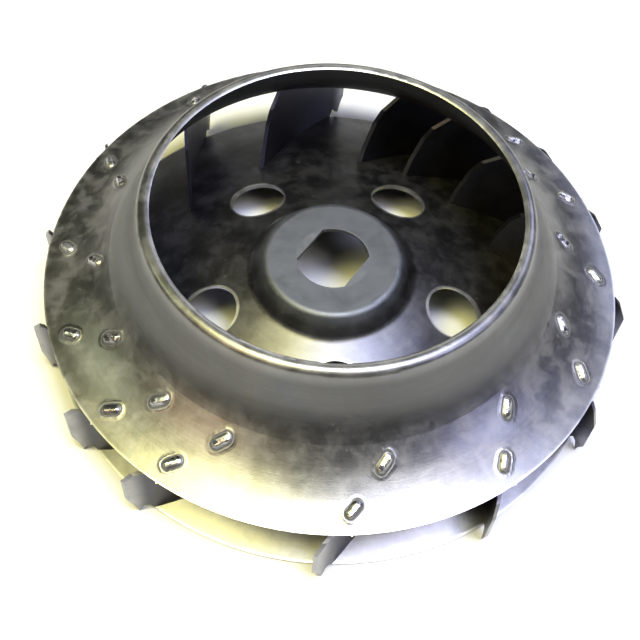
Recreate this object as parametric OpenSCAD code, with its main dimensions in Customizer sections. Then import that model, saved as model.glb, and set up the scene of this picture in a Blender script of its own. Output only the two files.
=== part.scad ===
// Centrifugal cooling-fan impeller, pressed from sheet steel.
// A coned back plate carries the hub, a bellmouth shroud forms the air inlet, and fourteen
// blades join the two. Each blade has two tabs through the shroud and two through the plate,
// peened over on the far side. Spin axis on Z, inlet up, lowest edge of the back plate at Z = 0.

/* [Back plate] */
// Radius of the plate's outer edge
plate_radius = 109; // [106:0.5:112]
// Thickness of the plate's sheet
plate_sheet = 1.5; // [1:0.1:2]
// Rise of the plate's cone for each millimetre towards the hub
plate_rise = 0.35; // [0.3:0.01:0.38]
// Height of the hub seat's top face
hub_height = 36.4; // [34:0.1:38]
// Radius where the hub's side would meet its flat top if the edge were sharp
hub_top_radius = 26.5; // [24:0.1:29]
// Radius where the hub's side would meet the cone if the corner were sharp
hub_foot_radius = 32.5; // [31:0.1:35]
// Bend radius round the hub's top edge, on the upper surface
hub_top_bend = 3; // [2:0.1:4]
// Bend radius round the hub's foot, on the upper surface
hub_foot_bend = 4; // [2:0.1:6]

/* [Hub hole and vents] */
// Radius of the hub hole's round walls
hub_hole_radius = 14; // [12:0.1:16]
// Distance between the hub hole's two flats
hub_hole_flats = 22; // [18:0.1:24]
// Direction in which the flats run, counter-clockwise from +X
hub_flat_angle = 60; // [0:1:90]
// Number of round vent holes round the hub
vent_count = 5; // [3:1:6]
// Radius of each vent hole
vent_radius = 11; // [8:0.5:12]
// Radius of the circle through the vent centres
vent_circle = 50; // [48:0.5:52]
// Direction of the first vent, counter-clockwise from +X
vent_angle = 60; // [0:1:90]

/* [Front shroud] */
// Radius of the shroud's outer rim
shroud_radius = 110; // [108:0.5:111]
// Height of the rim's upper edge
shroud_rim_height = 31.4; // [30:0.1:33]
// Thickness of the shroud's sheet
shroud_sheet = 1.2; // [1:0.1:1.4]
// Radius where the skirt's shallow and steep halves would meet if the corner were sharp
skirt_corner_radius = 95; // [94.8:0.1:95.4]
// Height of that corner
skirt_corner_height = 34.9; // [34.6:0.1:35.1]
// Radius where the skirt would meet the neck if the corner were sharp
neck_foot_radius = 78; // [77.5:0.1:78]
// Height of that corner
neck_foot_height = 51.3; // [51.3:0.1:52]
// Radius where the neck would meet the lip if the corner were sharp
neck_top_radius = 70.6; // [70:0.1:71]
// Height of that corner
neck_top_height = 72.15; // [71.5:0.05:73]
// Bend radius along the flared skirt, on the upper surface
skirt_bend = 54; // [48:0.5:54]
// Bend radius between skirt and neck, on the upper surface
neck_foot_bend = 37; // [20:0.5:37]
// Bend radius of the rolled crest, on the upper surface
crest_bend = 3.2; // [2.6:0.1:3.4]
// Length of the lip from its sharp corner to its free edge
lip_length = 4; // [3.9:0.1:4.4]
// Angle at which the lip turns down towards the axis
lip_droop = 30; // [26:1:31]

/* [Blades] */
// Thickness of the blades' sheet
blade_sheet = 1.2; // [1:0.1:1.5]
// Radius of the blade's arc, seen from above
blade_arc = 153; // [140:1:170]
// Angle between the blade and the radius where its outer shroud tab stands
blade_angle = 43; // [40:1:46]
// Radius of the blade's outer edge
blade_tip_radius = 115.2; // [114:0.1:116]
// Height up to which that outer edge is upright
blade_tip_height = 25; // [22:0.5:27]
// Radius where the slanted upper part of the outer edge ends
blade_crown_radius = 112.4; // [111.5:0.1:113.5]
// Height of that place
blade_crown_height = 30; // [29:0.1:30.5]
// Height of the blade's outer end beside the shroud's rim
blade_rim_height = 31; // [30.5:0.1:31.2]
// Gap between the shroud's rim and the blade's outer end
rim_gap = 0.3; // [0.2:0.1:1]
// Radius of the blade's inner edge at the plate
blade_root_radius = 69.5; // [66:0.5:72]
// Distance from the plate's edge to the point of the small spur below the blade's outer end
spur_reach = 4; // [3:0.1:5]
// Height of that point
spur_height = 0.5; // [0.2:0.1:1]
// Direction of the first blade's outer tab, counter-clockwise from +X
first_blade_angle = -118; // [-180:1:180]

/* [Tabs] */
// Radius of the outer tabs in the shroud
outer_tab_radius = 102; // [100:0.5:103]
// Radius of the inner tabs in the shroud
inner_tab_radius = 89.5; // [89:0.5:92]
// Radius of the outer tabs in the back plate
outer_foot_radius = 99; // [97:0.5:102]
// Radius of the inner tabs in the back plate
inner_foot_radius = 80; // [77:0.5:83]
// Length of each tab along the blade
tab_length = 5.6; // [4:0.1:6]
// Space left round a tab in its slot
slot_gap = 0.1; // [0.05:0.05:0.2]
// Length of a peened head between the centres of its round ends
head_span = 3.4; // [3:0.1:4]
// Radius of a peened head's rounding
head_round = 2.2; // [2:0.1:2.4]
// Height of a peened head above the sheet
head_height = 1; // [0.8:0.1:1.2]

/* [Hidden] */
// Angles from each blade to the next over half a turn, repeated once; they are unequal on purpose,
// which spreads the noise of the passing blades over several tones
blade_pitches = [36, 31.5, 27.5, 25.5, 22.5, 20, 17];
// Rest of the blade's inner edge, as [distance past the root, height]; the last point is in the
// shroud's sheet, where the blade is trimmed
inner_edge = [[1, 23], [4, 37], [6.4, 42.5], [13, 49.5]];
// Height of the spur's root above the plate's edge, its distance past that edge, and the spur's width
// on either side of the point
spur_root_rise = 3;
spur_start = 1;
spur_inner_width = 1.4;
spur_outer_width = 0.6;
// Height above the plate's edge where the blade's outer end becomes upright
tip_rise = 8;
// Extra length of a cutting shape past the surface that it cuts
past = 1;
// How far a tab reaches back into its blade
tab_root = 3;
// Sectors that hold a whole blade and a whole peened head, in degrees
sector_start = -12;
sector_end = 34;
head_sector = 20;
$fn = 96;

plate_slope = atan(plate_rise);
// Height of the plate's upper surface at its edge, which puts the sheet's lowest corner at Z = 0
plate_edge_height = plate_sheet * cos(plate_slope);
hub_foot_height = plate_top(hub_foot_radius);
// Where the blade's outer end begins, just past the shroud's rim
tip_start = shroud_radius + rim_gap;

// Centre of the blade's arc, with the outer shroud tab on +X
arc_centre = [outer_tab_radius - blade_arc * sin(blade_angle), -blade_arc * cos(blade_angle)];

// Upper surfaces in section, from the outer edge inwards, as [radius, height]
plate_path = [
    [plate_radius, plate_edge_height],
    [hub_foot_radius, hub_foot_height],
    [hub_top_radius, hub_height],
    [hub_hole_flats / 4, hub_height]
];
plate_bends = [0, hub_foot_bend, hub_top_bend, 0];
shroud_path = [
    [shroud_radius, shroud_rim_height],
    [skirt_corner_radius, skirt_corner_height],
    [neck_foot_radius, neck_foot_height],
    [neck_top_radius, neck_top_height],
    [
        neck_top_radius - lip_length * cos(lip_droop),
        neck_top_height - lip_length * sin(lip_droop)
    ]
];
shroud_bends = [0, skirt_bend, neck_foot_bend, crest_bend, 0];
skirt_centre = bend_centre(shroud_path, shroud_bends, 1);

// Upper and lower height of the plate's cone and of the shroud's flared skirt at a radius
function plate_top(radius) = plate_edge_height + (plate_radius - radius) * plate_rise;
function plate_under(radius) = plate_top(radius) - plate_sheet / cos(plate_slope);
function skirt_top(radius) =
    skirt_centre[1] - sqrt(skirt_bend ^ 2 - (skirt_centre[0] - radius) ^ 2);
function skirt_under(radius) =
    skirt_centre[1] - sqrt((skirt_bend + shroud_sheet) ^ 2 - (skirt_centre[0] - radius) ^ 2);
function skirt_slope(radius) = asin((skirt_centre[0] - radius) / skirt_bend);

// Direction of the blade's arc at a radius: the place where two circles cross
function arc_turn(radius) =
    let (reach = norm(arc_centre))
    atan2(arc_centre[1], arc_centre[0])
    + acos((radius ^ 2 + reach ^ 2 - blade_arc ^ 2) / (2 * radius * reach));
function on_arc(radius) = radius * [cos(arc_turn(radius)), sin(arc_turn(radius))];
function arc_heading(radius) =
    let (spoke = on_arc(radius) - arc_centre)
    atan2(spoke[1], spoke[0]) + 90;

// Direction of a blade: the first one's plus every pitch before it
function pitch_sum(count) =
    count == 0 ? 0 : pitch_sum(count - 1) + blade_pitches[(count - 1) % len(blade_pitches)];
function blade_direction(index) = first_blade_angle + pitch_sum(index);

// Heading of a leg of a path, and turn at a corner
function heading(path, leg) =
    atan2(path[leg + 1][1] - path[leg][1], path[leg + 1][0] - path[leg][0]);
function turn(path, corner) =
    corner == 0 || corner == len(path) - 1
        ? 0
        : (heading(path, corner) - heading(path, corner - 1) + 540) % 360 - 180;
function across(path, corner) =
    heading(path, max(corner - 1, 0)) + turn(path, corner) / 2 + 90;

// Point on the sheet's lower face across from a corner of its upper face
function lower_point(path, corner, sheet) =
    path[corner]
    + sheet / cos(turn(path, corner) / 2)
        * [cos(across(path, corner)), sin(across(path, corner))];

// Section of a bent sheet that lies to the left of a path: a strip with sharp corners, then a
// true arc on both faces of every bend
module sheet_section(path, bends, sheet) {
    last = len(path) - 1;
    difference() {
        union() {
            polygon(concat(path, [for (corner = [last : -1 : 0]) lower_point(path, corner, sheet)]));
            for (corner = [1 : last - 1])
                at_bend(path, bends, corner)
                    bend_inside(abs(turn(path, corner)) / 2, inner_bend(path, bends, corner, sheet), sheet);
        }
        for (corner = [1 : last - 1])
            at_bend(path, bends, corner)
                bend_outside(abs(turn(path, corner)) / 2, inner_bend(path, bends, corner, sheet) + sheet);
    }
}

// Radius on the hollow side of a bend: the stated one, or one sheet less if the path runs outside
function inner_bend(path, bends, corner, sheet) =
    turn(path, corner) > 0 ? bends[corner] - sheet : bends[corner];

// Direction from a bend's centre to its sharp corner, and the centre itself
function toward_corner(path, corner) =
    across(path, corner) + (turn(path, corner) > 0 ? 180 : 0);
function bend_centre(path, bends, corner) =
    let (toward = toward_corner(path, corner))
    path[corner]
    - bends[corner] / cos(turn(path, corner) / 2) * [cos(toward), sin(toward)];

// Puts a shape at a bend's centre, with +X towards the corner
module at_bend(path, bends, corner) {
    translate(bend_centre(path, bends, corner))
        rotate(toward_corner(path, corner))
            children();
}

// Material that fills a bend's hollow side, and waste outside its round side
module bend_inside(half, radius, sheet) {
    difference() {
        kite(half, radius + sheet / 2);
        circle(radius);
    }
}

module bend_outside(half, radius) {
    difference() {
        kite(half, radius + past / 2);
        circle(radius);
    }
}

// Kite between two tangents of a circle that turn through twice the half angle
module kite(half, radius) {
    polygon([
        [0, 0],
        [radius * cos(half), -radius * sin(half)],
        [radius / cos(half), 0],
        [radius * cos(half), radius * sin(half)]
    ]);
}

// Cutter for the hub hole: a cylinder with two flats
module hub_hole() {
    rotate(hub_flat_angle)
        intersection() {
            cylinder(r = hub_hole_radius, h = hub_height + past);
            translate([-hub_hole_radius, -hub_hole_flats / 2, 0])
                cube([2 * hub_hole_radius, hub_hole_flats, hub_height + past]);
        }
}

// Cutters for the vents, each square to the cone
module vents() {
    for (index = [0 : vent_count - 1])
        rotate(vent_angle + index * 360 / vent_count)
            translate([vent_circle, 0, plate_top(vent_circle)])
                rotate([0, plate_slope, 0])
                    cylinder(r = vent_radius, h = vent_radius, center = true);
}

// Upright bar at one tab's place on the first blade
module tab_bar(radius, bottom, top, gap = 0) {
    translate([on_arc(radius)[0], on_arc(radius)[1], bottom])
        rotate(arc_heading(radius))
            translate([-tab_length / 2 - gap, -blade_sheet / 2 - gap, 0])
                cube([tab_length + 2 * gap, blade_sheet + 2 * gap, top - bottom]);
}

// Direction of a blade within a sloped sheet, from the line of steepest fall
function heading_in_sheet(radius, slope) =
    let (swing = arc_heading(radius) - arc_turn(radius))
    atan2(sin(swing), cos(swing) / cos(slope));

// Long low head that closes a tab: a capsule sunk in the sheet, lying along the blade. Slope leans
// it square to the sheet, and below turns it over
module peened_head(radius, height, slope, below) {
    place = on_arc(radius);
    lean = below ? 180 + slope : slope;
    swing = heading_in_sheet(radius, slope);
    intersection() {
        translate([place[0], place[1], height])
            rotate(arc_turn(radius))
                rotate([0, lean, 0])
                    rotate(below ? 180 - swing : swing)
                        translate([0, 0, head_height - head_round])
                            capsule(head_span, head_round);
        rotate(arc_turn(radius) - head_sector / 2)
            rotate_extrude(angle = head_sector)
                if (below)
                    below_plate();
                else
                    translate(skirt_centre)
                        circle(skirt_bend);
    }
}

// Cylinder along X with a round cap at each end
module capsule(span, radius) {
    translate([-span / 2, 0, 0])
        rotate([0, 90, 0])
            cylinder(r = radius, h = span);
    for (end = [-span / 2, span / 2])
        translate([end, 0, 0])
            sphere(radius);
}

// Section of the space below the plate, where its heads are
module below_plate() {
    low = inner_foot_radius - 2 * head_span;
    high = outer_foot_radius + 2 * head_span;
    deep = 3 * head_span;
    polygon([
        [low, plate_under(low)],
        [low, plate_under(low) - deep],
        [high, plate_under(high) - deep],
        [high, plate_under(high)]
    ]);
}

// Section of the shroud's sheet and the space above it, as far out as the blade's outer end
module above_skirt() {
    intersection() {
        translate(skirt_centre)
            circle(skirt_bend + shroud_sheet);
        square([tip_start, neck_top_height]);
    }
}

// Cutters for every blade's slots
module shroud_slots() {
    for (index = [0 : 2 * len(blade_pitches) - 1])
        rotate(blade_direction(index))
            for (radius = [inner_tab_radius, outer_tab_radius])
                tab_bar(radius, skirt_under(radius) - tab_root, skirt_top(radius) + tab_root, slot_gap);
}

module plate_slots() {
    for (index = [0 : 2 * len(blade_pitches) - 1])
        rotate(blade_direction(index))
            for (radius = [inner_foot_radius, outer_foot_radius])
                tab_bar(radius, plate_under(radius) - tab_root, plate_top(radius) + tab_root, slot_gap);
}

// Outline of a blade as radius and height: it stands on the plate and is trimmed by the shroud's
// lower face, its outer end stands past both, and a small spur there reaches below the plate's edge
module blade_outline() {
    spur_radius = plate_radius + spur_reach;
    spur_root = plate_edge_height + spur_root_rise;
    difference() {
        polygon(concat(
            [
                [blade_root_radius, plate_top(blade_root_radius)],
                [plate_radius, plate_edge_height],
                [plate_radius + spur_start, spur_root],
                [spur_radius - spur_inner_width, spur_root],
                [spur_radius, spur_height],
                [spur_radius + spur_outer_width, spur_root],
                [blade_tip_radius, plate_edge_height + tip_rise],
                [blade_tip_radius, blade_tip_height],
                [blade_crown_radius, blade_crown_height],
                [tip_start, blade_rim_height]
            ],
            [
                for (step = [len(inner_edge) - 1 : -1 : 0])
                    [blade_root_radius + inner_edge[step][0], inner_edge[step][1]]
            ]
        ));
        above_skirt();
    }
}

// One blade, with its outer shroud tab on +X
module blade_shape() {
    intersection() {
        translate([arc_centre[0], arc_centre[1], 0])
            difference() {
                cylinder(r = blade_arc + blade_sheet / 2, h = hub_height + neck_top_height);
                translate([0, 0, -past])
                    cylinder(r = blade_arc - blade_sheet / 2, h = hub_height + neck_top_height + 2 * past);
            }
        rotate(sector_start)
            rotate_extrude(angle = sector_end - sector_start)
                blade_outline();
    }
    for (radius = [inner_tab_radius, outer_tab_radius]) {
        tab_bar(radius, skirt_under(radius) - tab_root, skirt_top(radius) + head_height / 2);
        peened_head(radius, skirt_top(radius), skirt_slope(radius), false);
    }
    for (radius = [inner_foot_radius, outer_foot_radius]) {
        tab_bar(radius, plate_under(radius) - head_height / 2, plate_top(radius) + tab_root);
        peened_head(radius, plate_under(radius), plate_slope, true);
    }
}

module blade(index) {
    color([0.10, 0.10, 0.11])
        rotate(blade_direction(index))
            blade_shape();
}

module back_plate() {
    color([0.16, 0.16, 0.17])
        difference() {
            rotate_extrude()
                sheet_section(plate_path, plate_bends, plate_sheet);
            hub_hole();
            vents();
            plate_slots();
        }
}

module front_shroud() {
    color([0.30, 0.30, 0.31])
        difference() {
            rotate_extrude()
                sheet_section(shroud_path, shroud_bends, shroud_sheet);
            shroud_slots();
        }
}

module blade_01() { blade(0); }
module blade_02() { blade(1); }
module blade_03() { blade(2); }
module blade_04() { blade(3); }
module blade_05() { blade(4); }
module blade_06() { blade(5); }
module blade_07() { blade(6); }
module blade_08() { blade(7); }
module blade_09() { blade(8); }
module blade_10() { blade(9); }
module blade_11() { blade(10); }
module blade_12() { blade(11); }
module blade_13() { blade(12); }
module blade_14() { blade(13); }

back_plate();
front_shroud();
blade_01();
blade_02();
blade_03();
blade_04();
blade_05();
blade_06();
blade_07();
blade_08();
blade_09();
blade_10();
blade_11();
blade_12();
blade_13();
blade_14();
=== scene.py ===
import math
import bpy
import numpy as np
from mathutils import Matrix, Vector


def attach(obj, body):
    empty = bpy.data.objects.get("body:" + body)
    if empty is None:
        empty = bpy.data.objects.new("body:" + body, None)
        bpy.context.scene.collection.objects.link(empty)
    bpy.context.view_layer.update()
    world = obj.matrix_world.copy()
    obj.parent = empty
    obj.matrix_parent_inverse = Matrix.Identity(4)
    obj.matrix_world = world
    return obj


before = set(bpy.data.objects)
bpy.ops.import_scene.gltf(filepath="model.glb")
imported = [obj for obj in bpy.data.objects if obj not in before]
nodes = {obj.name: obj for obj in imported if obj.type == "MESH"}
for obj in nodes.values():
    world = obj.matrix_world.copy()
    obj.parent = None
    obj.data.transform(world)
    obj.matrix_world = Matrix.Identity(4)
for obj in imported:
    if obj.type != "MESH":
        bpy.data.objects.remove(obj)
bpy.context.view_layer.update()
bladeNodes = [nodes[name] for name in sorted(nodes) if name.startswith("blade_")]
print("frame loaded:", len(nodes), "nodes,", len(bladeNodes), "blades")

# Sizes of the sheet metal, in metres, that the added pieces and the finishes follow
sheetShape = {
    "bendCentreRadius": 0.12177,  # centre of the skirt's long bend, as radius and height
    "bendCentreHeight": 0.08411,
    "bendRadius": 0.054,
    "plateEdgeRadius": 0.109,
    "plateEdgeHeight": 0.001416,
    "plateSheet": 0.0015,
    "plateRise": 0.35,  # rise of the plate's cone for each metre towards the hub
    "ventCircle": 0.050,
    "ventAngle": 60,  # degrees, direction of the first vent
    "ventCount": 5,
}


class Wire:
    # a value in a material; arithmetic on it adds Math nodes
    def __init__(self, maker, socket):
        self.maker = maker
        self.socket = socket

    def math(self, operation, *others):
        return self.maker.node("ShaderNodeMath", {"operation": operation}, [self, *others])

    def __add__(self, other):
        return self.math("ADD", other)

    def __radd__(self, other):
        return self.maker.node("ShaderNodeMath", {"operation": "ADD"}, [other, self])

    def __sub__(self, other):
        return self.math("SUBTRACT", other)

    def __rsub__(self, other):
        return self.maker.node("ShaderNodeMath", {"operation": "SUBTRACT"}, [other, self])

    def __mul__(self, other):
        return self.math("MULTIPLY", other)

    def __rmul__(self, other):
        return self.maker.node("ShaderNodeMath", {"operation": "MULTIPLY"}, [other, self])

    def ramp(self, low, high, start=0.0, end=1.0):
        # start below low, end above high, smooth between
        return self.maker.node(
            "ShaderNodeMapRange",
            {"interpolation_type": "SMOOTHSTEP", "clamp": True},
            {"Value": self, "From Min": low, "From Max": high, "To Min": start, "To Max": end},
        )


class Maker:
    # builds one material's nodes
    def __init__(self, name):
        self.material = bpy.data.materials.new(name)
        self.material.use_nodes = True
        self.tree = self.material.node_tree
        self.tree.nodes.clear()
        self.place = self.node("ShaderNodeTexCoord", {}, {}, "Object")

    def node(self, kind, settings, inputs, output=0):
        # adds a node: settings first, then values or links, then hands back one output
        made = self.tree.nodes.new(kind)
        for key, value in settings.items():
            setattr(made, key, value)
        pairs = inputs.items() if isinstance(inputs, dict) else enumerate(inputs)
        for key, value in pairs:
            if isinstance(value, Wire):
                self.tree.links.new(value.socket, made.inputs[key])
            else:
                made.inputs[key].default_value = value
        return Wire(self, made.outputs[output])

    def split(self, vector):
        made = self.node("ShaderNodeSeparateXYZ", {}, {"Vector": vector})
        outputs = made.socket.node.outputs
        return [Wire(self, outputs[axis]) for axis in "XYZ"]

    def join(self, x, y, z):
        return self.node("ShaderNodeCombineXYZ", {}, [x, y, z])

    def noise(self, vector, scale, detail=4.0, roughness=0.55, distortion=0.0):
        return self.node(
            "ShaderNodeTexNoise",
            {},
            {
                "Vector": vector,
                "Scale": scale,
                "Detail": detail,
                "Roughness": roughness,
                "Distortion": distortion,
            },
        )

    def shifted(self, offset):
        return self.node("ShaderNodeMapping", {}, {"Vector": self.place, "Location": offset})

    def mix(self, factor, first, second):
        # a Mix node set to colour keeps its colour sockets at 6 and 7, and its colour output at 2
        first = first if isinstance(first, Wire) else (*first, 1.0)
        second = second if isinstance(second, Wire) else (*second, 1.0)
        made = self.node("ShaderNodeMix", {"data_type": "RGBA"}, {"Factor": factor})
        node = made.socket.node
        for slot, value in ((6, first), (7, second)):
            if isinstance(value, Wire):
                self.tree.links.new(value.socket, node.inputs[slot])
            else:
                node.inputs[slot].default_value = value
        return Wire(self, node.outputs[2])

    def attribute(self, name):
        return self.node("ShaderNodeAttribute", {"attribute_name": name}, {}, "Fac")

    def finish(self, shader):
        output = self.tree.nodes.new("ShaderNodeOutputMaterial")
        self.tree.links.new(shader.socket, output.inputs["Surface"])
        return self.material


# What can be changed in each finish. Colours are linear; scales are in repeats per metre
shroudLook = {
    "darkMetal": (0.165, 0.165, 0.168),
    "paleMetal": (0.270, 0.270, 0.274),
    "wornMetal": (0.62, 0.62, 0.63),
    "dustColour": (0.42, 0.41, 0.39),
    "dustAmount": 0.10,
    "rustColour": (0.16, 0.085, 0.045),
    "rustAmount": 0.25,
    "cloudScale": 17.0,
    "mottleScale": 120.0,
    "grainScale": 2200.0,
    "roughness": 0.36,
    "roughnessSpread": 0.10,
    "dentHeight": 0.0003,
    "grainHeight": 0.00003,
    "rimWear": 0.7,
    "lipWear": 0.5,
    "zoneMetal": (0.070, 0.071, 0.074),  # the neck, painted dark: painted shade
    "zoneCover": 0.6,
    "zoneRoughness": 0.02,
}
plateLook = dict(
    shroudLook,
    # darker than the shroud's steel, which this plate shares: painted shade for the plate lying
    # under the shroud
    darkMetal=(0.072, 0.072, 0.080),
    paleMetal=(0.118, 0.118, 0.128),
    dustAmount=0.04,
    roughness=0.40,
    dentHeight=0.0002,
    rimWear=0.64,
    holeWear=0.8,
    # painted light on the plate's outer band, which the shroud does not shade
    polish=0.24,
    zoneMetal=(0.122, 0.130, 0.150),  # the hub seat, painted paler and bluish as a painted highlight, and made matt
    zoneCover=1.0,
    zoneRoughness=0.16,
)
bladeLook = dict(
    shroudLook,
    darkMetal=(0.040, 0.039, 0.050),
    paleMetal=(0.068, 0.066, 0.082),
    dustAmount=0.05,
    rustAmount=0.10,
    roughness=0.40,
    dentHeight=0.0002,
    endWear=0.5,
)

# How the noise layers are mixed, the same in every finish; a range is where a mask starts and where
# it is full
steelMix = {
    "toneShares": (0.55, 0.30, 0.15),  # of cloud, mottle and rings
    "toneRange": (0.34, 0.68),
    "smudgeScale": 2.3,  # as a multiple of the cloud's
    "smudgeAmount": 0.35,
    "warmRange": (0.55, 0.72),
    "warmTint": (0.95, 0.84, 0.70),
    "coolRange": (0.45, 0.30),
    "coolTint": (0.70, 0.78, 1.0),
    "speckScale": 420.0,
    "speckRange": (0.66, 0.74),
    "rustRange": (0.48, 0.60),
    "dustFacing": (0.3, 0.95),
    "dustRange": (0.40, 0.66),
    "dustDulling": 1.5,
    "wearMottle": (1.3, 0.25),  # share that follows the mottle, and the even share
    "roughShares": (1.0, 1.4, 1.0),  # of cloud, mottle and smudge
    "roughLimits": (0.12, 0.9),
    "zoneMottle": (0.25, 0.6, 0.75, 1.0),
    "dentShares": (0.9, 0.25),  # of cloud and mottle
    "ringShare": 0.6,
    "bumpStrength": 0.8,
}
# Noise layers: offset in metres, detail, roughness, distortion
noiseLayers = {
    "cloud": ((0.31, 0.12, 0.07), 5.0, 0.6, 0.6),
    "mottle": ((0.07, 0.43, 0.21), 4.0, 0.62, 0.3),
    "grain": ((0.0, 0.0, 0.0), 2.0, 0.5, 0.0),
    "smudge": ((0.9, 0.2, 0.5), 6.0, 0.7, 1.2),
    "speck": ((0.5, 0.8, 0.1), 2.0, 0.5, 0.0),
}
# Rings that the drawing tool left: repeats per metre across them and per radian along them
ringMarks = {"across": 900, "along": 1.2, "detail": 3.0, "roughness": 0.6}
# Finish of the tabs' heads, on top of their sheet's
headLook = {
    "brightShares": (0.55, 0.6),  # the even share, and the share that follows the mottle
    # the groove round each head is painted near black: painted shade
    "grooveShadeColour": (0.006, 0.006, 0.007),
    "grooveShadeRoughness": 0.35,
    "grooveShadeDulling": 0.6,
    "brightSmoothing": 0.10,
}
# Radii or heights, in metres, where each worn or differing place starts and where it is full
wearPlaces = {
    "shroudRim": (0.1090, 0.1099),
    "shroudLip": (0.0684, 0.0672),
    "neckFoot": (0.0440, 0.0500),
    "neckTop": (0.0690, 0.0640),
    "ventEdge": (0.0119, 0.0111),  # from the vent's own centre
    "plateRim": (0.1078, 0.1089),
    "hubHole": (0.0149, 0.0141),
    "plateLitBand": (0.0880, 0.1040),
    "hubShoulder": (0.0318, 0.0270),
    "hubTop": (0.0300, 0.0345),
    "bladeEnd": (0.1095, 0.1150),
}


def cylindrical(maker):
    # radius, angle round the axis and height of a point
    x, y, z = maker.split(maker.place)
    radius = (x * x + y * y).math("SQRT")
    angle = y.math("ARCTAN2", x)
    return radius, angle, z


def layer(maker, name, scale):
    # one noise, moved by an offset of its own so that no two layers line up
    offset, detail, roughness, distortion = noiseLayers[name]
    return maker.noise(maker.shifted(offset), scale, detail, roughness, distortion)


def turningMarks(maker, radius, angle, z):
    # fine rings: noise that hardly changes with the angle
    marks = ringMarks
    place = maker.join(radius * marks["across"], angle * marks["along"], z * marks["across"])
    return maker.noise(place, 1.0, marks["detail"], marks["roughness"])


def tinted(colour, tint):
    # each channel times its share
    return tuple(channel * share for channel, share in zip(colour, tint))


def steel(name, look, edges, zone, heads=False):
    # blackened sheet steel: clouded colour, smudges, dust, rust specks and bright worn edges;
    # edges(...) gives the worn mask, and zone(...) the part of the piece that is painted a colour
    # of its own as painted light and shade, with a roughness of its own
    maker = Maker(name)
    mixing = steelMix
    radius, angle, z = cylindrical(maker)
    cloud = layer(maker, "cloud", look["cloudScale"])
    mottle = layer(maker, "mottle", look["mottleScale"])
    grain = layer(maker, "grain", look["grainScale"])
    smudge = layer(maker, "smudge", look["cloudScale"] * mixing["smudgeScale"])
    speck = layer(maker, "speck", mixing["speckScale"])
    rings = turningMarks(maker, radius, angle, z)

    cloudShare, mottleShare, ringShare = mixing["toneShares"]
    tone = cloud * cloudShare + mottle * mottleShare + rings * ringShare
    colour = maker.mix(tone.ramp(*mixing["toneRange"]), look["darkMetal"], look["paleMetal"])
    for side in ("warm", "cool"):
        amount = smudge.ramp(*mixing[side + "Range"], 0.0, mixing["smudgeAmount"])
        colour = maker.mix(amount, colour, tinted(look["paleMetal"], mixing[side + "Tint"]))

    # rust only in small scattered specks
    rust = speck.ramp(*mixing["speckRange"]) * smudge.ramp(*mixing["rustRange"])
    rust = rust * look["rustAmount"]
    colour = maker.mix(rust, colour, look["rustColour"])

    # dust settles on faces that look up
    normal = maker.node("ShaderNodeNewGeometry", {}, {}, "Normal")
    up = maker.split(normal)[2]
    dust = up.ramp(*mixing["dustFacing"]) * mottle.ramp(*mixing["dustRange"]) * look["dustAmount"]
    colour = maker.mix(dust, colour, look["dustColour"])

    uneven, even = mixing["wearMottle"]
    worn = edges(look, radius, angle, z) * (mottle * uneven + even)
    colour = maker.mix(worn.math("MINIMUM", 1.0), colour, look["wornMetal"])

    rough = look["roughness"]
    for noise, share in zip((cloud, mottle, smudge), mixing["roughShares"]):
        rough = rough + (noise - 0.5) * (look["roughnessSpread"] * share)
    metallic = 1.0 - dust * mixing["dustDulling"] - rust
    if zone is not None:
        # the zone's colour is painted light and shade: painted shade on the shroud's neck, a
        # painted highlight on the hub seat
        inShadingZone = zone(radius, z) * mottle.ramp(*mixing["zoneMottle"])
        colour = maker.mix(inShadingZone * look["zoneCover"], colour, look["zoneMetal"])
        rough = rough + inShadingZone * look["zoneRoughness"]
    if heads:
        # crowns of the tabs are rubbed bright, and the groove round each is painted near black as
        # painted shade
        even, uneven = headLook["brightShares"]
        bright = maker.attribute("rubbed")
        grooveShade = maker.attribute("groove")
        colour = maker.mix(bright * (even + mottle * uneven), colour, look["wornMetal"])
        colour = maker.mix(grooveShade, colour, headLook["grooveShadeColour"])
        rough = rough + grooveShade * headLook["grooveShadeRoughness"] - bright * headLook["brightSmoothing"]
        metallic = metallic - grooveShade * headLook["grooveShadeDulling"]

    cloudDents, mottleDents = mixing["dentShares"]
    height = (
        (cloud * cloudDents + mottle * mottleDents) * look["dentHeight"]
        + grain * look["grainHeight"]
        + rings * (look["grainHeight"] * mixing["ringShare"])
    )
    bump = maker.node(
        "ShaderNodeBump",
        {},
        {"Strength": mixing["bumpStrength"], "Distance": 1.0, "Height": height},
        "Normal",
    )
    smoothest, roughest = mixing["roughLimits"]
    shader = maker.node(
        "ShaderNodeBsdfPrincipled",
        {},
        {
            "Base Color": colour,
            "Metallic": metallic.math("MAXIMUM", 0.0),
            "Roughness": rough.math("MAXIMUM", smoothest).math("MINIMUM", roughest),
            "Normal": bump,
        },
    )
    return maker.finish(shader)


def shroudEdges(look, radius, angle, z):
    # worn bright at the rim and along the lip's free edge
    rim = radius.ramp(*wearPlaces["shroudRim"]) * look["rimWear"]
    lip = radius.ramp(*wearPlaces["shroudLip"]) * look["lipWear"]
    return (rim + lip).math("MINIMUM", 1.0)


def shroudNeck(radius, z):
    # the steep neck, between the skirt below and the crest above
    # the band that is painted dark as painted shade
    return z.ramp(*wearPlaces["neckFoot"]) * z.ramp(*wearPlaces["neckTop"])


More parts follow.
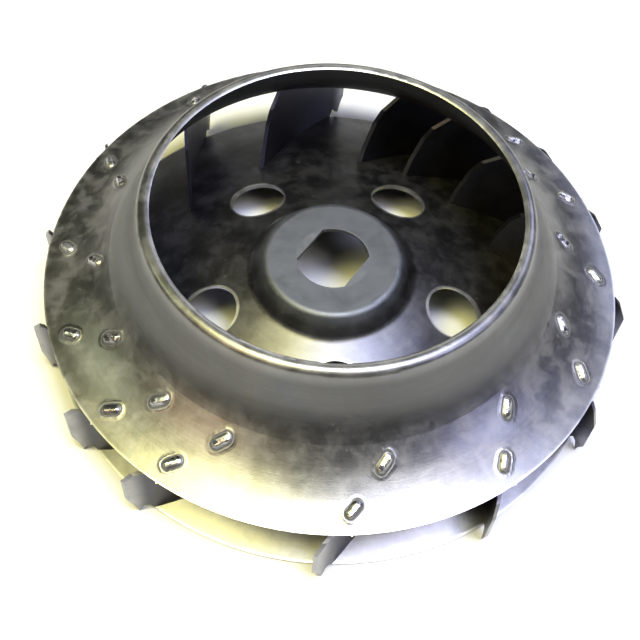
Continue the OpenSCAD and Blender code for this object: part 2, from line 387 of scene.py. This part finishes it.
def plateEdges(look, radius, angle, z):
    # worn bright at the rim, round the vents and round the hub hole, and a fainter painted light on
    # the band outside the blades' feet, which the shroud does not shade; the angle is folded so
    # that one vent stands for all
    shape = sheetShape
    sector = 2 * math.pi / shape["ventCount"]
    start = math.radians(shape["ventAngle"]) - sector / 2
    turned = (angle - start + 2 * math.pi).math("MODULO", sector) - sector / 2
    along = radius * turned.math("COSINE") - shape["ventCircle"]
    across = radius * turned.math("SINE")
    toVent = (along * along + across * across).math("SQRT")
    vents = toVent.ramp(*wearPlaces["ventEdge"]) * look["holeWear"]
    hole = radius.ramp(*wearPlaces["hubHole"]) * look["holeWear"]
    rim = radius.ramp(*wearPlaces["plateRim"]) * look["rimWear"]
    # painted light on the band outside the blades' feet
    polish = radius.ramp(*wearPlaces["plateLitBand"]) * look["polish"]
    return (vents + hole + rim + polish).math("MINIMUM", look["holeWear"])


def hubSeat(radius, z):
    # the hub's flat top and shoulder
    # the band painted paler as a painted highlight
    return radius.ramp(*wearPlaces["hubShoulder"]) * z.ramp(*wearPlaces["hubTop"])


def bladeEdges(look, radius, angle, z):
    # only the outer ends are rubbed
    return radius.ramp(*wearPlaces["bladeEnd"]) * look["endWear"]


shroudSteel = steel("shroudSteel", shroudLook, shroudEdges, shroudNeck)
plateSteel = steel("plateSteel", plateLook, plateEdges, hubSeat)
bladeSteel = steel("bladeSteel", bladeLook, bladeEdges, None)
upperStakeSteel = steel("upperStakeSteel", shroudLook, shroudEdges, shroudNeck, heads=True)
lowerStakeSteel = steel("lowerStakeSteel", plateLook, plateEdges, hubSeat, heads=True)


def wear(obj, material):
    # the same finish in every slot of the piece
    for slot in obj.material_slots:
        slot.material = material


wear(nodes["front_shroud"], shroudSteel)
wear(nodes["back_plate"], plateSteel)
for blade in bladeNodes:
    wear(blade, bladeSteel)
print("finishes made")


stakeShape = {
    "seed": 7,
    "halfLength": 0.0066,  # of the patch of sheet that the staking tool marked
    "halfWidth": 0.0052,
    "columns": 49,
    "rows": 39,
    "headSpan": 0.0017,  # half the distance between the centres of the head's round ends
    "headRound": 0.0022,
    "headSunk": 0.0012,
    "headEdge": 0.0019,  # distance from the head's spine to its foot
    "crownHeight": 0.00022,
    "crownShares": (0.6, 0.4, 0.35),  # even, following the waves, and on the side struck last
    "ridgeHeight": 0.00016,
    "ridgeWidth": 0.00045,
    "ridgeShift": 0.0007,
    "burrDistance": 0.0026,
    "burrSway": 0.10,
    "burrWidth": 0.00036,
    "burrHeight": 0.00020,
    "burrShares": (0.60, 0.40, 0.25),  # even, on the side struck last, and following the waves
    "swellHeight": 0.00010,
    "swellReach": 0.0036,
    "fadeStart": 0.0036,
    "fadeWidth": 0.0010,
    "rubbedHeight": 0.0011,
    "rubbedBurr": 0.7,
    "grooveDistance": 0.00212,
    "grooveWidth": 0.00030,
    "grooveShares": (0.75, 0.25),
    "sunk": 0.00006,  # how far the patch's border lies inside the sheet
    "waveCount": 5,
    "wavePitch": 0.0022,
    "pitchRange": (0.6, 1.5),
}
# Where each face's heads are looked for: side of the sheet, radii, and the radius between the rings
upperSearch = {"side": 1, "split": 0.0957, "reach": (0.080, 0.1075)}
lowerSearch = {"side": -1, "split": 0.0895, "reach": (0.070, 0.1065)}
proudHeight = 0.0003  # a head's points stand at least this far past the sheet


def skirtTop(radius):
    # upper face of the skirt: a circle about the bend's centre
    shape = sheetShape
    across = shape["bendCentreRadius"] - radius
    return shape["bendCentreHeight"] - np.sqrt(shape["bendRadius"] ** 2 - across**2)


def skirtSlope(radius):
    # rise of the skirt for each metre outwards
    across = sheetShape["bendCentreRadius"] - radius
    return -across / np.sqrt(sheetShape["bendRadius"] ** 2 - across**2)


def plateUnder(radius):
    # lower face of the plate's cone
    shape = sheetShape
    top = shape["plateEdgeHeight"] + (shape["plateEdgeRadius"] - radius) * shape["plateRise"]
    return top - shape["plateSheet"] * math.hypot(1, shape["plateRise"])


def plateSlope(radius):
    # rise of the cone for each metre outwards
    return np.full_like(radius, -sheetShape["plateRise"])


def tabPlaces(blade, face, search):
    # middle and heading of a blade's heads on one face, from the points that stand past it: the
    # heading is the direction in which those points spread most
    points = np.empty(len(blade.data.vertices) * 3)
    blade.data.vertices.foreach_get("co", points)
    points = points.reshape(-1, 3)
    radius = np.hypot(points[:, 0], points[:, 1])
    inside = (radius > search["reach"][0]) & (radius < search["reach"][1])
    points, radius = points[inside], radius[inside]
    proud = search["side"] * (points[:, 2] - face(radius)) > proudHeight
    places = []
    for ring in (radius < search["split"], radius >= search["split"]):
        head = points[proud & ring][:, :2]
        middle = (head.min(axis=0) + head.max(axis=0)) / 2
        spread = (head - head.mean(axis=0)).T @ (head - head.mean(axis=0))
        heading = np.linalg.eigh(spread)[1][:, 1]
        places.append((middle, heading))
    return places


def waves(rng, u, v, shape):
    # mean of a few sine waves with random headings and lengths, from -1 to 1
    total = np.zeros_like(u)
    for wave in range(shape["waveCount"]):
        turn, phase = rng.uniform(0, 2 * math.pi, 2)
        pitch = shape["wavePitch"] * rng.uniform(*shape["pitchRange"])
        total += np.sin((u * math.cos(turn) + v * math.sin(turn)) * 2 * math.pi / pitch + phase)
    return total / shape["waveCount"]


def bell(distance, width):
    # 1 in the middle, falling as exp(-(distance / width) squared)
    return np.exp(-((distance / width) ** 2))


def stakeRelief(rng, u, v):
    # height above the sheet: head, then a groove, then a raised burr that dies away; each
    # staking blow leaves its own crown, burr and lean. Also how rubbed each point is, and how much
    # painted shade lies in its groove
    shape = stakeShape
    distance = np.hypot(np.maximum(np.abs(u) - shape["headSpan"], 0), v)
    onHead = distance < shape["headEdge"]
    head = np.sqrt(np.clip(shape["headRound"] ** 2 - distance**2, 0, None)) - shape["headSunk"]
    rough = waves(rng, u, v, shape)
    struck = np.cos(np.arctan2(v, u) - rng.uniform(0, 2 * math.pi))
    even, uneven, leaning = shape["crownShares"]
    crown = head + shape["crownHeight"] * (even + uneven * rough + leaning * struck)
    ridgePlace = rng.uniform(-1, 1) * shape["ridgeShift"]
    crown = crown + shape["ridgeHeight"] * bell(v - ridgePlace, shape["ridgeWidth"]) * onHead
    burrPlace = shape["burrDistance"] * (1 + shape["burrSway"] * rough)
    even, leaning, uneven = shape["burrShares"]
    burr = bell(distance - burrPlace, shape["burrWidth"]) * shape["burrHeight"]
    burr = burr * (even + leaning * struck + uneven * rough)
    swell = shape["swellHeight"] * np.exp(-((distance / shape["swellReach"]) ** 4))
    apron = swell + np.clip(burr, 0, None)
    height = np.where(onHead, np.maximum(crown, apron), apron)
    fade = np.clip((distance - shape["fadeStart"]) / shape["fadeWidth"], 0, 1)
    height = height * (1 - fade) - shape["sunk"] * fade
    rubbed = np.clip(crown / shape["rubbedHeight"], 0, 1) ** 3 * onHead
    rubbedBurr = np.clip(burr / shape["burrHeight"], 0, 1) ** 3 * shape["rubbedBurr"]
    even, uneven = shape["grooveShares"]
    # painted shade in the groove round the head
    groove = bell(distance - shape["grooveDistance"], shape["grooveWidth"])
    groove = groove * (even + uneven * rough)
    return height, np.maximum(rubbed, rubbedBurr), np.clip(groove, 0, 1)


def stakes(name, places, face, slopeAt, side, material):
    # one patch of marked sheet round each tab: a grid along and across the blade, laid on the
    # sheet's face and raised along its normal by the relief
    shape = stakeShape
    rng = np.random.default_rng(shape["seed"])
    columns, rows = shape["columns"], shape["rows"]
    u, v = np.meshgrid(
        np.linspace(-1, 1, columns) * shape["halfLength"],
        np.linspace(-1, 1, rows) * shape["halfWidth"],
    )
    allPoints, allRubbed, allGroove = [], [], []
    for middle, heading in places:
        height, rubbed, groove = stakeRelief(rng, u, v)
        x = middle[0] + u * heading[0] - v * heading[1]
        y = middle[1] + u * heading[1] + v * heading[0]
        radius = np.hypot(x, y)
        slope = slopeAt(radius)
        length = np.hypot(1, slope)
        outward = -side * slope / length * height
        x = x + x / radius * outward
        y = y + y / radius * outward
        z = face(radius) + side * height / length
        allPoints.append(np.stack([x, y, z], axis=-1).reshape(-1, 3))
        allRubbed.append(rubbed.ravel())
        allGroove.append(groove.ravel())
    corner = (np.arange(rows - 1)[:, None] * columns + np.arange(columns - 1)).ravel()
    quads = np.stack([corner, corner + 1, corner + 1 + columns, corner + columns], axis=-1)
    if side < 0:
        quads = quads[:, ::-1]
    starts = np.arange(len(places))[:, None, None] * columns * rows
    quads = (quads[None] + starts).reshape(-1, 4)
    mesh = bpy.data.meshes.new(name)
    mesh.from_pydata(np.concatenate(allPoints).tolist(), [], quads.tolist())
    for attributeName, values in (("rubbed", allRubbed), ("groove", allGroove)):
        attribute = mesh.attributes.new(attributeName, "FLOAT", "POINT")
        attribute.data.foreach_set("value", np.concatenate(values).astype(np.float32))
    mesh.polygons.foreach_set("use_smooth", np.ones(len(quads), dtype=bool))
    mesh.materials.append(material)
    piece = bpy.data.objects.new(name, mesh)
    bpy.context.collection.objects.link(piece)
    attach(piece, "root")
    return piece


upperPlaces = [place for blade in bladeNodes for place in tabPlaces(blade, skirtTop, upperSearch)]
lowerPlaces = [place for blade in bladeNodes for place in tabPlaces(blade, plateUnder, lowerSearch)]
stakes("upperStakes", upperPlaces, skirtTop, skirtSlope, 1, upperStakeSteel)
stakes("lowerStakes", lowerPlaces, plateUnder, plateSlope, -1, lowerStakeSteel)
print("staked tabs:", len(upperPlaces), "above and", len(lowerPlaces), "below")


floorLook = {
    "radius": 1.5,
    "sides": 180,
    "drop": 0.0002,  # below the fan's lowest edge
    "colour": (0.55, 0.55, 0.55),
    "roughness": 0.6,
    "fibreScale": 300.0,
    "fibrePaleness": 1.03,
}


def makeFloor(look):
    # a flat disc: equal steps round a circle
    turns = np.arange(look["sides"]) * 2 * math.pi / look["sides"]
    rim = np.stack([np.cos(turns), np.sin(turns)], axis=-1) * look["radius"]
    points = np.column_stack([rim, np.full(look["sides"], -look["drop"])])
    mesh = bpy.data.meshes.new("floor")
    mesh.from_pydata(points.tolist(), [], [list(range(look["sides"]))])
    maker = Maker("floorPaper")
    fibre = maker.noise(maker.place, look["fibreScale"], 3.0)
    paler = tuple(channel * look["fibrePaleness"] for channel in look["colour"])
    shader = maker.node(
        "ShaderNodeBsdfPrincipled",
        {},
        {"Base Color": maker.mix(fibre, look["colour"], paler), "Roughness": look["roughness"]},
    )
    mesh.materials.append(maker.finish(shader))
    floor = bpy.data.objects.new("floor", mesh)
    bpy.context.collection.objects.link(floor)


# Soft boxes: name, azimuth and elevation seen from the fan (degrees), size (metres), power (watts)
# and tint
lamps = [
    ("overhead", 40, 82, 0.68, 38, (0.92, 0.96, 1.0)),
    ("warmTop", -55, 73, 0.85, 34, (1.0, 0.93, 0.28)),
    ("coolTop", 58, 71, 0.85, 27, (0.52, 0.57, 1.0)),
    ("warmKey", -45, 60, 0.85, 19, (1.0, 0.95, 0.5)),
    ("coolKey", 45, 60, 0.85, 17, (1.0, 0.97, 0.92)),
    ("coolSide", 90, 60, 0.85, 10.5, (0.7, 0.72, 1.0)),
    ("coolLow", 67, 35, 0.85, 10.5, (0.62, 0.64, 1.0)),
    ("coolRear", 135, 35, 0.85, 8.5, (0.68, 0.72, 1.0)),
    ("farFill", 180, 35, 0.85, 5.5, (1.0, 1.0, 0.94)),
    ("warmSide", -90, 35, 0.85, 5, (0.94, 1.0, 0.63)),
    ("warmLow", -45, 35, 0.85, 6, (1.0, 0.68, 0.4)),
]
lampPlace = {"distance": 2.2, "aimHeight": 0.03}
worldLook = {"ambient": (0.90, 0.92, 0.95), "ambientStrength": 0.03, "wall": (0.80, 0.80, 0.80)}


def makeLamp(name, azimuth, elevation, size, power, tint):
    # an area light on a sphere round the fan, aimed at its middle; azimuth 0 is the near side
    turn, rise = math.radians(azimuth), math.radians(elevation)
    away = Vector(
        (math.sin(turn) * math.cos(rise), -math.cos(turn) * math.cos(rise), math.sin(rise))
    )
    data = bpy.data.lights.new(name, "AREA")
    data.shape = "DISK"
    data.size = size
    data.energy = power
    data.color = tint
    lamp = bpy.data.objects.new(name, data)
    lamp.location = Vector((0, 0, lampPlace["aimHeight"])) + away * lampPlace["distance"]
    lamp.rotation_euler = (-away).to_track_quat("-Z", "Y").to_euler()
    bpy.context.collection.objects.link(lamp)


def makeWorld(look):
    # a faint even light from all round, and a pale wall wherever the world itself is in view
    world = bpy.data.worlds.new("studio")
    world.use_nodes = True
    tree = world.node_tree
    ambient = tree.nodes["Background"]
    ambient.inputs["Color"].default_value = (*look["ambient"], 1.0)
    ambient.inputs["Strength"].default_value = look["ambientStrength"]
    wall = tree.nodes.new("ShaderNodeBackground")
    wall.inputs["Color"].default_value = (*look["wall"], 1.0)
    path = tree.nodes.new("ShaderNodeLightPath")
    choice = tree.nodes.new("ShaderNodeMixShader")
    tree.links.new(path.outputs["Is Camera Ray"], choice.inputs["Fac"])
    tree.links.new(ambient.outputs["Background"], choice.inputs[1])
    tree.links.new(wall.outputs["Background"], choice.inputs[2])
    tree.links.new(choice.outputs["Shader"], tree.nodes["World Output"].inputs["Surface"])
    bpy.context.scene.world = world


cameraLook = {
    "elevation": 56.20,  # degrees above the horizon
    "roll": 5.12,
    "distance": 0.4247,  # metres from the axis at the plate's rim
    "aimHeight": 0.0014,
    "lens": 57.80,
    "shift": (-0.0137, -0.0187),
    "sensor": 36,  # millimetres, as the lens
    "clip": (0.01, 20),
}


def makeCamera(look):
    # backs away from a point on the axis along the line of sight, then rolls about that line
    rise, roll = math.radians(look["elevation"]), math.radians(look["roll"])
    back = Vector((0, -math.cos(rise), math.sin(rise)))
    right = Vector((1, 0, 0))
    up = back.cross(right)
    across = right * math.cos(roll) + up * math.sin(roll)
    upright = up * math.cos(roll) - right * math.sin(roll)
    data = bpy.data.cameras.new("camera")
    data.sensor_width = look["sensor"]
    data.lens = look["lens"]
    data.shift_x, data.shift_y = look["shift"]
    data.clip_start, data.clip_end = look["clip"]
    camera = bpy.data.objects.new("camera", data)
    turned = Matrix((across, upright, back)).transposed().to_4x4()
    camera.matrix_world = Matrix.Translation(
        Vector((0, 0, look["aimHeight"])) + back * look["distance"]
    ) @ turned
    bpy.context.collection.objects.link(camera)
    bpy.context.scene.camera = camera


makeFloor(floorLook)
for lamp in lamps:
    makeLamp(*lamp)
makeWorld(worldLook)
bpy.context.scene.view_settings.view_transform = "Standard"
makeCamera(cameraLook)
print("studio made")
